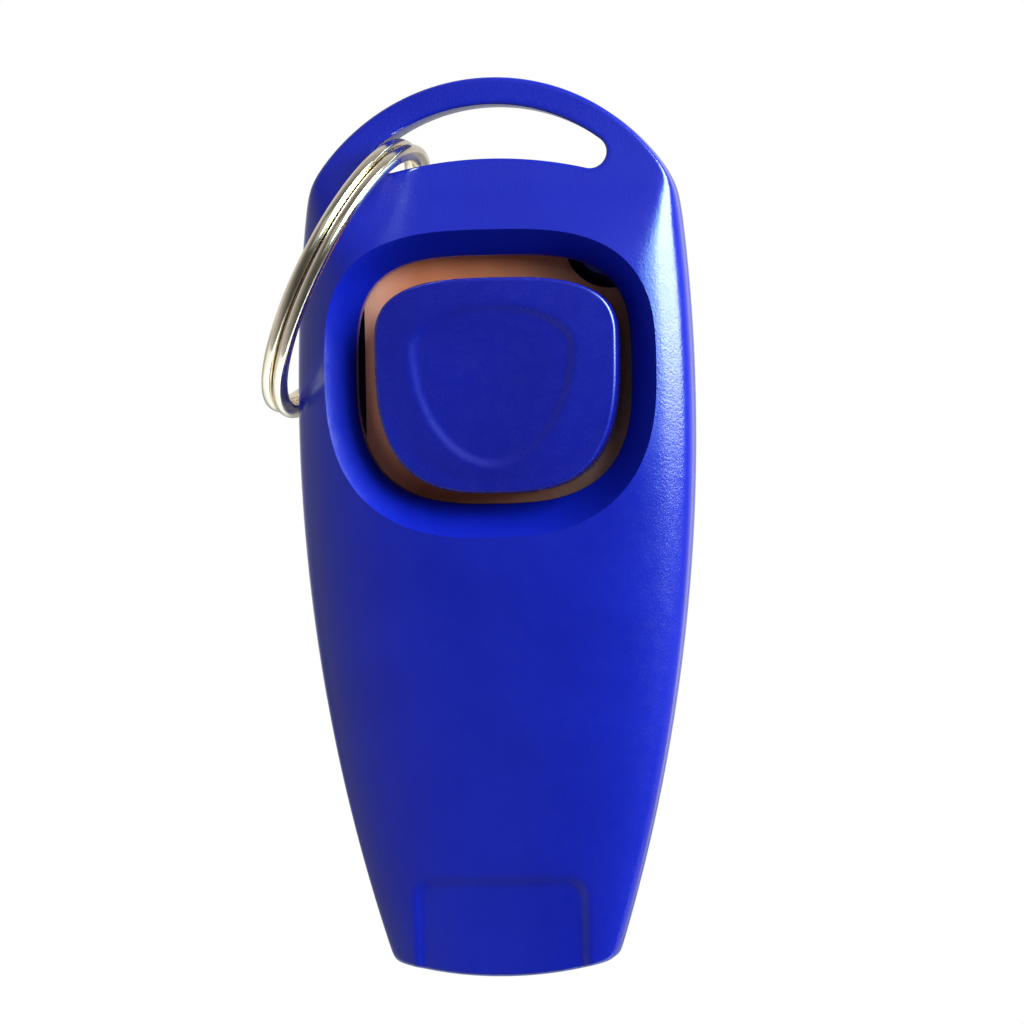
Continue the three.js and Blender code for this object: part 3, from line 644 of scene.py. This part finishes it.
def front_shell():
    shell = front_skin()
    bosses = [front_boss(place) for place in CASE_SCREWS.values()]
    cut(bosses[0], [window_plug()])
    cut(shell, bosses, "UNION")
    pilot = rod(SCREW["pilot"], 0.5, SCREW["pilot_end"])
    cut(shell, [turned("pilot", *place, pilot, 32) for place in CASE_SCREWS.values()])
    return shell


def on_pad(x, height):
    return (np.abs(x) < PAD["half_width"]) & (height < PAD["top"])


def back_inner(x, height):
    skin = np.maximum(back_height(x, height) - WALL, BACK_HOLLOW)
    skin = np.where(on_pad(x, height), PAD["seat"], skin)
    return np.where(inside_outline(x, height, **CAVITY) > 0, skin, 0)


def back_skin():
    outline, slot = outline_loop(OUTLINE_POINTS), slot_loop(SLOT_POINTS)
    loose = np.vstack([*edge_rows(outline, slot), body_grid(FINE, 0.9, 0.45)])
    outer = triangulate([outline, slot], loose, in_body)
    seam_line, cavity, ledge = inside_edges(outline)
    edges = [seam_line, slot, cavity, ledge]
    inner = triangulate(edges, inside_grid(), lambda x, h: within_seam(x, h) & in_body(x, h))
    stack = Stack()
    top = stack.sheet(outer, back_height)
    low = stack.sheet(inner, back_inner)
    stack.wall(top[0], [at_depth(outline, 0.8), *eased(outline, 1)], low[0])
    stack.wall(top[1], [], low[1])
    return stack.made("back_shell_skin")


def whistle_cutters():
    """The windway, the whistle's opening in the back, its chamber and the slope up from its lip."""
    wide, seat, sill, lip = WHISTLE["half_width"], PAD["seat"] - 0.02, WHISTLE["sill"], WHISTLE["lip"]
    chamber = TUB["half_width"] - TUB["wall"]
    foot, below = WHISTLE["labium"] + 0.25, lip - 0.5
    slope_end, slope_top = 6.05, WHISTLE["ramp_top"]
    slope = [(foot, below), (foot, lip), (slope_end, slope_top), (OUTSIDE, slope_top), (OUTSIDE, below)]
    return [
        box_cutter((-wide, seat, -1), (wide, WHISTLE["groove"], sill + 0.01)),
        box_cutter((-wide, seat, sill), (wide, OUTSIDE, lip)),
        box_cutter((-chamber, seat, sill), (chamber, WHISTLE["labium"], TUB["top"] - TUB["wall"])),
        prism(slope, wide),
    ]


def back_boss(place):
    return turned("boss", *place, rod(SCREW["boss"], 0, float(back_height(*place)) - BOSS_SINK))


def screw_seat(place):
    return float(back_height(*place)) - SCREW["sunk"]


def screw_bore(place):
    """A case screw's hole, the well that its head sits in and the well's flared mouth."""
    seat, surface = screw_seat(place), float(back_height(*place))
    hole = [(0, -1), (SCREW["hole"], -1), (SCREW["hole"], seat)]
    well = [(SCREW["well"], seat), (SCREW["well"], surface - 0.15)]
    mouth = [(SCREW["well_mouth"], surface + 1), (0, surface + 1)]
    return turned("bore", *place, hole + well + mouth)


def back_shell():
    shell = back_skin()
    cut(shell, [back_boss(place) for place in CASE_SCREWS.values()], "UNION")
    cut(shell, whistle_cutters())
    cut(shell, [screw_bore(place) for place in CASE_SCREWS.values()])
    return shell


# ---------------------------------------------------------------- button, leaf, screws
def button_height(x, height):
    """The button's face above the seam plane: domed, with the dish pressed into it and its edge rounded."""
    out = np.minimum(np.hypot(x, height - DOME_HEIGHT) / BUTTON["a"], 1)
    face = BUTTON_FACE + BUTTON_DOME * (1 - out**2)
    angle = np.arctan2(height - DISH["centre"], x - DISH_X)
    reach, rim = np.hypot(x - DISH_X, height - DISH["centre"]), oval_radius(angle, DISH)
    face = face - DISH_STEP * smoothstep(rim - reach, *DISH_EASE)
    face = face - DISH_HOLLOW * (1 - np.clip(reach / rim, 0, 1) ** 2) ** 2
    return face - fillet_drop(inside_oval(x, height, BUTTON), BUTTON_FILLET)


def button_underside(x, height):
    """The button's hollow side above the seam plane: its foot, its roof, and the stem with its bore."""
    roof = np.where(inside_oval(x, height, BUTTON) > BUTTON_SKIRT + 0.02, BUTTON_ROOF, BUTTON_FOOT)
    from_stem = np.hypot(x - STEM["x"], height - STEM["height"])
    on_stem = np.where(from_stem < STEM["bore"], STEM["bore_end"], STEM["foot"])
    return np.where(from_stem < STEM["radius"] + 0.02, on_stem, roof)


def button_grid(step, from_edge):
    grid = hex_grid((-BUTTON["a"], BUTTON_SPAN[0]), (BUTTON["a"], BUTTON_SPAN[1]), step)
    return grid[inside_oval(*grid.T, BUTTON) > from_edge]


def stem_loop(radius, count):
    return circle_loop(STEM["x"], STEM["height"], radius, count)


def click_button():
    rim = oval_loop(BUTTON, 480)
    rows = [inward(rim, distance) for distance in fillet_offsets(BUTTON_FILLET) + [0.4]]
    loose = np.vstack([*rows, button_grid(0.3, 0.55)])

    def within(x, h):
        return inside_oval(x, h, BUTTON) > 0

    outer = triangulate([rim], loose, within)
    skirt = [inward(rim, BUTTON_SKIRT), inward(rim, BUTTON_SKIRT + STEEP)]
    stem = [stem_loop(STEM["radius"] + STEEP, 64), stem_loop(STEM["radius"], 64)]
    bore = [stem_loop(STEM["bore"] + 0.02, 32), stem_loop(STEM["bore"] - 0.02, 32)]
    coarse = button_grid(1.2, 1.9)
    coarse = coarse[from_circle(*coarse.T, (STEM["x"], STEM["height"], STEM["radius"])) > 0.6]
    inner = triangulate([rim, *skirt, *stem, *bore], coarse, within)
    stack = Stack()
    top = stack.sheet(outer, lambda x, h: -button_height(x, h))
    low = stack.sheet(inner, lambda x, h: -button_underside(x, h))
    stack.wall(top[0], [at_depth(rim, -4.4), at_depth(rim, -3.0)], low[0])
    stack.points = [p + np.array([BUTTON_X, 0, 0]) for p in stack.points]
    return stack.made("click_button_cap")


def leaf_outline():
    left, right, bottom, top, r = (LEAF[k] for k in ("left", "right", "bottom", "top", "corner"))
    corners = [(right - r, bottom + r), (right - r, top - r), (left + r, top - r), (left + r, bottom + r)]
    run = []
    for quarter, (x, height) in enumerate(corners):
        angle = np.radians(np.linspace(-90, 0, 24) + 90 * quarter)
        run.append(np.column_stack([x + r * np.cos(angle), height + r * np.sin(angle)]))
    return evenly(np.vstack(run), 420)


def notched(edge):
    """The leaf's outline with the round notch let into its corner."""
    middle, radius = np.array(NOTCH[:2]), NOTCH[2]
    kept = edge[from_circle(*edge.T, NOTCH) > 0]
    gap = np.argmax(np.linalg.norm(kept - np.roll(kept, 1, axis=0), axis=1))
    kept = np.roll(kept, -gap, axis=0)
    start, stop = (math.atan2(*(end - middle)[::-1]) for end in (kept[-1], kept[0]))
    stop = stop if stop < start else stop - 2 * math.pi
    turn = np.linspace(start, stop, 60)[1:-1]
    arc = middle + radius * np.column_stack([np.cos(turn), np.sin(turn)])
    return evenly(np.vstack([kept, arc]), 480)


def click_leaf():
    edge = notched(leaf_outline())
    holes = [circle_loop(*hole, 48) for hole in LEAF_HOLES]
    grid = hex_grid((LEAF["left"] + 0.4, LEAF["bottom"] + 0.4), (LEAF["right"] - 0.3, LEAF["top"] - 0.3), 0.6)
    clear = from_circle(*grid.T, NOTCH) > 0.4
    for hole in LEAF_HOLES:
        clear &= from_circle(*grid.T, hole) > 0.3

    def within(x, h):
        keep = (x > LEAF["left"]) & (x < LEAF["right"]) & (h > LEAF["bottom"]) & (h < LEAF["top"])
        for circle in (NOTCH, *LEAF_HOLES):
            keep &= from_circle(x, h, circle) > 0
        return keep

    def bulge(x, h):
        u = np.hypot(x, h - DIMPLE["height"]) / DIMPLE["radius"]
        return DIMPLE["rise"] * np.clip(1 - u**2, 0, 1)

    face = triangulate([edge, *holes], grid[clear], within)
    stack = Stack()
    front = stack.sheet(face, lambda x, h: LEAF_FRONT + bulge(x, h))
    rear = stack.sheet(face, lambda x, h: LEAF_FRONT + LEAF_THICKNESS + bulge(x, h))
    for first, last in zip(front, rear):
        stack.wall(first, [], last)
    return stack.made("click_leaf_spring")


def case_screw(name, place):
    seat = screw_seat(place) + 0.05
    screw = turned(name, *place, [(radius, seat + rise) for radius, rise in SCREW_OUTLINE])
    cut(screw, cross_recess(place, seat + SCREW_OUTLINE[-1][1]))
    return screw


def cross_recess(place, crest):
    """Two crossed arms, each narrowing towards its floor."""
    x, height = place
    arms = []
    for across, up in ((CROSS["long"], CROSS["short"]), (CROSS["short"], CROSS["long"])):
        points = []
        for share, depth in ((1, crest + 0.3), (CROSS["narrowing"], crest - CROSS["deep"])):
            for side, rise in ((-1, -1), (1, -1), (1, 1), (-1, 1)):
                points.append((x + side * across * share, depth, height + rise * up * share))
        faces = [(0, 1, 2, 3), (7, 6, 5, 4)] + [(i, (i + 1) % 4, 4 + (i + 1) % 4, 4 + i) for i in range(4)]
        arms.append(made("recess", points, faces))
    return arms


# ---------------------------------------------------------------- the split ring
def ring_frame():
    """The ring's three directions (away from the slot, forwards and along its axle) and its middle."""
    lean, twist, pitch = (math.radians(RING_PLACE[k]) for k in ("lean", "twist", "pitch"))
    far = Vector((-math.sin(lean), 0, -math.cos(lean)))
    forward = Vector((-math.sin(twist), -1, math.sin(pitch)))
    axle = far.cross(forward).normalized()
    forward = axle.cross(far)
    return np.array([far, forward, axle]), np.array([RING_PLACE["x"], RING_PLACE["y"], RING_PLACE["height"]])


def wire_section(sides):
    """The wire's squarish section, as distances outwards and along the axle."""
    angle = 2 * np.pi * (np.arange(sides) + 0.5) / sides
    n = WIRE_SQUARENESS
    r = (np.abs(np.cos(angle)) ** n + np.abs(np.sin(angle)) ** n) ** (-1 / n)
    return RING["radial"] / 2 * r * np.cos(angle), RING["turn"] / 2 * r * np.sin(angle)


def split_ring():
    """One wire in two turns side by side, crossing from one to the other at the kink."""
    steps, sides = 560, 28
    degrees = np.linspace(RING["end_deg"], 720 - RING["end_deg"], steps)
    angle = np.radians(RING["kink_at"] + degrees)
    crossed = smoothstep(degrees, 360 - RING["kink_deg"], 360 + RING["kink_deg"])
    across = (crossed - 0.5) * (RING["turn"] + RING["gap"])
    radial, axial = wire_section(sides)
    axes, middle = ring_frame()
    stack, rows = Stack(), []
    for k, (a, z) in enumerate(zip(angle, across)):
        # The wire's two ends are a little thinner.
        shrink = 1 - 0.12 * max(0, 1 - min(k, steps - 1 - k) / 1.5)
        out = RING["radius"] + radial * shrink
        flat = np.column_stack([out * np.cos(a), out * np.sin(a), axial * shrink + z])
        start = stack.add(flat @ axes + middle)
        rows.append(np.arange(start, start + sides))
    for first, second in zip(rows, rows[1:]):
        stack.faces += strip(first, second)
    stack.faces += [tuple(rows[0]), tuple(rows[-1])[::-1]]
    return stack.made("split_ring_coil", 50)


# ---------------------------------------------------------------- materials
class Material:
    """A node material with a Principled shader and helpers that add and join nodes."""

    def __init__(self, name, **values):
        self.material = bpy.data.materials.new(name)
        self.material.use_nodes = True
        self.tree = self.material.node_tree
        self.shader = self.tree.nodes["Principled BSDF"]
        for key, value in values.items():
            self.shader.inputs[key.replace("_", " ")].default_value = value
        self.place = self.add("ShaderNodeTexCoord").outputs["Object"]

    def add(self, kind, **settings):
        node = self.tree.nodes.new(kind)
        for key, value in settings.items():
            if key in node.inputs:
                node.inputs[key].default_value = value
            else:
                setattr(node, key, value)
        return node

    def join(self, source, target):
        self.tree.links.new(source, target)

    def noise(self, size_mm, detail=2.0, roughness=0.5, stretch=(1, 1, 1)):
        """Noise whose grains are about size_mm across."""
        mapping = self.add("ShaderNodeMapping")
        mapping.inputs["Scale"].default_value = [s / (size_mm * MM) for s in stretch]
        self.join(self.place, mapping.inputs["Vector"])
        texture = self.add("ShaderNodeTexNoise", Scale=1.0, Detail=detail, Roughness=roughness)
        self.join(mapping.outputs["Vector"], texture.inputs["Vector"])
        return texture.outputs["Fac"]

    def ramp(self, source, *stops):
        node = self.add("ShaderNodeValToRGB")
        while len(node.color_ramp.elements) < len(stops):
            node.color_ramp.elements.new(0.5)
        for element, (position, color) in zip(node.color_ramp.elements, stops):
            element.position = position
            element.color = (*color, 1) if isinstance(color, tuple) else (color, color, color, 1)
        self.join(source, node.inputs["Fac"])
        return node.outputs["Color"]

    def spread(self, source, low, high):
        node = self.add("ShaderNodeMapRange")
        node.inputs["To Min"].default_value = low
        node.inputs["To Max"].default_value = high
        self.join(source, node.inputs["Value"])
        return node.outputs["Result"]

    def bump(self, source, distance_mm, strength=1.0):
        node = self.add("ShaderNodeBump", Strength=strength, Distance=distance_mm * MM)
        self.join(source, node.inputs["Height"])
        previous = self.shader.inputs["Normal"]
        if previous.is_linked:
            self.join(previous.links[0].from_socket, node.inputs["Normal"])
        self.join(node.outputs["Normal"], previous)

    def along(self, low, high):
        """0 at one point of the frame and 1 at another, level across the line between them."""
        low, high = Vector(low) * MM, Vector(high) * MM
        node = self.add("ShaderNodeVectorMath", operation="DOT_PRODUCT")
        self.join(self.place, node.inputs[0])
        line = high - low
        node.inputs[1].default_value = line / line.length_squared
        shift = self.add("ShaderNodeMath", operation="SUBTRACT", use_clamp=True)
        self.join(node.outputs["Value"], shift.inputs[0])
        shift.inputs[1].default_value = low.dot(line) / line.length_squared
        return shift.outputs[0]

    def mixed(self, share, first, second):
        node = self.add("ShaderNodeMix", data_type="RGBA")
        sockets = [s for s in node.inputs if s.type == "RGBA"]
        self.join(share, node.inputs["Factor"])
        self.join(first, sockets[0])
        self.join(second, sockets[1])
        return next(s for s in node.outputs if s.type == "RGBA")

    def set(self, socket, source):
        self.join(source, self.shader.inputs[socket])


def blue_plastic(name, dark, light, roughness, grain=1.0):
    m = Material(name, Roughness=roughness, IOR=1.58)
    m.set("Base Color", m.ramp(m.noise(9, 3), (0.3, dark), (0.7, light)))
    m.set("Roughness", m.spread(m.noise(1.1, 4, 0.6), roughness - 0.05, roughness + 0.07))
    m.bump(m.noise(0.22, 2, 0.6), 0.026, 0.6 * grain)
    m.bump(m.noise(6, 2), 0.05, 0.2)
    return m.material


def tempered_steel():
    m = Material("tempered_brown_steel", Metallic=0.2, Roughness=0.42)
    copper = m.ramp(
        m.noise(7, 3), (0.25, (0.55, 0.13, 0.055)), (0.5, (0.64, 0.16, 0.07)), (0.8, (0.72, 0.2, 0.09))
    )
    # The umber colour is painted shade: mixed in below, it darkens the leaf from its upper left towards its
    # lower right.
    umber_painted_shade = m.ramp(m.noise(5, 3), (0.3, (0.16, 0.07, 0.06)), (0.7, (0.23, 0.1, 0.08)))
    # The rosy colour is a painted reflection: mixed in below, it makes the leaf's left strip lighter and
    # pinker.
    rosy_painted_reflection = m.ramp(m.noise(7, 3), (0.3, (0.85, 0.3, 0.2)), (0.7, (0.95, 0.38, 0.27)))
    left = m.mixed(m.along((-10.5, 0, 0), (-7, 0, 0)), rosy_painted_reflection, copper)
    m.set("Base Color", m.mixed(m.along((-4, 0, -22), (11, 0, -28)), left, umber_painted_shade))
    m.set("Roughness", m.spread(m.noise(0.5, 3, 0.6, (6, 1, 1)), 0.32, 0.55))
    m.bump(m.noise(0.25, 3, 0.6, (8, 1, 1)), 0.006, 0.5)
    return m.material


def plated_steel(name, color, roughness, grain=0.3):
    m = Material(name, Metallic=1.0, Roughness=roughness)
    lighter = tuple(min(1, c * 1.08) for c in color)
    darker = tuple(c * 0.86 for c in color)
    m.set("Base Color", m.ramp(m.noise(2.5, 3), (0.35, darker), (0.65, lighter)))
    m.set("Roughness", m.spread(m.noise(0.7, 4, 0.6), roughness * 0.75, roughness * 1.4))
    m.bump(m.noise(0.3, 2, 0.6), 0.004, grain)
    return m.material


def paint(piece, material):
    piece.data.materials.clear()
    piece.data.materials.append(material)


# ---------------------------------------------------------------- studio
def area_light(name, place, aim, size, power, color=(1, 1, 1)):
    light = bpy.data.lights.new(name, "AREA")
    light.shape = "RECTANGLE"
    light.size, light.size_y = size
    light.energy = power
    light.color = color
    obj = bpy.data.objects.new(name, light)
    obj.location = place
    obj.rotation_euler = (Vector(aim) - Vector(place)).to_track_quat("-Z", "Y").to_euler()
    bpy.context.scene.collection.objects.link(obj)
    return obj


def around(azimuth, elevation, distance):
    """A place round the object's middle: azimuth 0 is in front of it and 90 on its right."""
    a, e = math.radians(azimuth), math.radians(elevation)
    return MIDDLE + Vector((math.sin(a) * math.cos(e), -math.cos(a) * math.cos(e), math.sin(e))) * distance


def lights():
    area_light("window", around(68, 27, 0.45), MIDDLE, (0.34, 0.4), 9.5, (0.8, 1.0, 0.97))
    area_light("window_side", around(44, 24, 0.45), MIDDLE, (0.16, 0.3), 1.4, (0.5, 0.95, 1.0))
    area_light("high_fill", around(14, 30, 0.6), MIDDLE, (0.45, 0.36), 0.2)
    low_fill = area_light("low_fill", around(-35, -25, 0.6), MIDDLE, (0.5, 0.4), 1.1)
    rear_fill = area_light("rear_fill", around(205, 30, 0.6), MIDDLE, (0.5, 0.5), 5)
    for fill in (low_fill, rear_fill):
        fill.visible_glossy = False


def surroundings():
    """Light from all round, dim in front and brightest behind the object and on its left. It looks white."""
    world = bpy.data.worlds.new("studio")
    bpy.context.scene.world = world
    world.use_nodes = True
    tree = world.node_tree
    background = tree.nodes["Background"]
    coordinates = tree.nodes.new("ShaderNodeTexCoord")
    facing = tree.nodes.new("ShaderNodeVectorMath")
    facing.operation = "DOT_PRODUCT"
    facing.inputs[1].default_value = (-0.64, 0.77, 0)
    tree.links.new(coordinates.outputs["Generated"], facing.inputs[0])
    spread = tree.nodes.new("ShaderNodeMapRange")
    spread.interpolation_type = "SMOOTHSTEP"
    for socket, value in (("From Min", -0.77), ("From Max", 0.77), ("To Min", 0.07), ("To Max", 0.7)):
        spread.inputs[socket].default_value = value
    tree.links.new(facing.outputs["Value"], spread.inputs["Value"])
    seen = tree.nodes.new("ShaderNodeBackground")
    seen.inputs["Color"].default_value = (1, 1, 1, 1)
    seen.inputs["Strength"].default_value = 1.0
    tree.links.new(spread.outputs["Result"], background.inputs["Strength"])
    background.inputs["Color"].default_value = (1, 1, 1, 1)
    path = tree.nodes.new("ShaderNodeLightPath")
    mix = tree.nodes.new("ShaderNodeMixShader")
    tree.links.new(path.outputs["Is Camera Ray"], mix.inputs["Fac"])
    tree.links.new(background.outputs[0], mix.inputs[1])
    tree.links.new(seen.outputs[0], mix.inputs[2])
    tree.links.new(mix.outputs[0], tree.nodes["World Output"].inputs["Surface"])


def floor():
    """A plain pale floor some way under the hanging body."""
    reach, in_front_of, drop = 3, 0.1, 0.3
    corners = ((-reach, -in_front_of), (reach, -in_front_of), (reach, reach), (-reach, reach))
    points = [(x, y, TIP - drop) for x, y in corners]
    mesh = bpy.data.meshes.new("floor")
    mesh.from_pydata(points, [], [(0, 1, 2, 3)])
    obj = link("floor", mesh)
    m = Material("floor_pale", Roughness=0.7)
    m.set("Base Color", m.ramp(m.noise(40, 2), (0.4, (0.8, 0.8, 0.81)), (0.6, (0.82, 0.82, 0.83))))
    obj.data.materials.append(m.material)


def camera():
    azimuth, roll, distance, field = math.radians(7), math.radians(-1.0), 0.5, 0.0915
    aim_right, aim_up, sensor = 0.0011, 0.00125, 36
    back = Vector((math.sin(azimuth), -math.cos(azimuth), 0))
    right = Vector((math.cos(azimuth), math.sin(azimuth), 0))
    aim = Vector((0, 0, TIP + 0.5 * LENGTH * MM)) + right * aim_right + Vector((0, 0, aim_up))
    cam = bpy.data.cameras.new("camera")
    cam.sensor_width = sensor
    cam.lens = sensor * distance / field
    cam.clip_start = 0.01
    obj = bpy.data.objects.new("camera", cam)
    obj.location = aim + back * distance
    turn = (-back).to_track_quat("-Z", "Y").to_matrix() @ Matrix.Rotation(roll, 3, "Z")
    obj.rotation_euler = turn.to_euler()
    bpy.context.scene.collection.objects.link(obj)
    bpy.context.scene.camera = obj


camera()
lights()
surroundings()
floor()
bpy.context.scene.view_settings.view_transform = "Standard"

case_blue = blue_plastic("case_blue_plastic", (0.0018, 0.0052, 0.185), (0.0026, 0.0072, 0.215), 0.22)
button_blue = blue_plastic("button_blue_plastic", (0.001, 0.003, 0.14), (0.0016, 0.0042, 0.165), 0.26, 0.35)
brown = tempered_steel()
zinc = plated_steel("zinc_plated_steel", (0.62, 0.64, 0.67), 0.28)
nickel = plated_steel("nickel_plated_steel", (0.9, 0.79, 0.62), 0.14, 0.15)

for piece, body, node, slot, material in (
    (front_shell(), "case", "front_shell", "case_blue", case_blue),
    (back_shell(), "case", "back_shell", "case_blue", case_blue),
    (click_button(), "button", "click_button", "button_blue", button_blue),
    (split_ring(), "key_ring", "split_ring", "nickel_steel", nickel),
):
    paint(piece, material)
    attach(piece, body)
    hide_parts(node)

for name, place in CASE_SCREWS.items():
    screw = case_screw(name + "_pan_head", place)
    paint(screw, zinc)
    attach(screw, "case")
    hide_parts(name)

leaf = click_leaf()
paint(leaf, brown)
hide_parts("click_leaf")
in_frame((0, 0, 41))
in_frame((0, 0, 50))
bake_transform(leaf)

for node in ("button_screw", "leaf_clamp_bar", "leaf_screw_left", "leaf_screw_right"):
    paint(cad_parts[node], zinc)
for node in ("windway_block", "resonance_tub"):
    paint(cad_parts[node], case_blue)
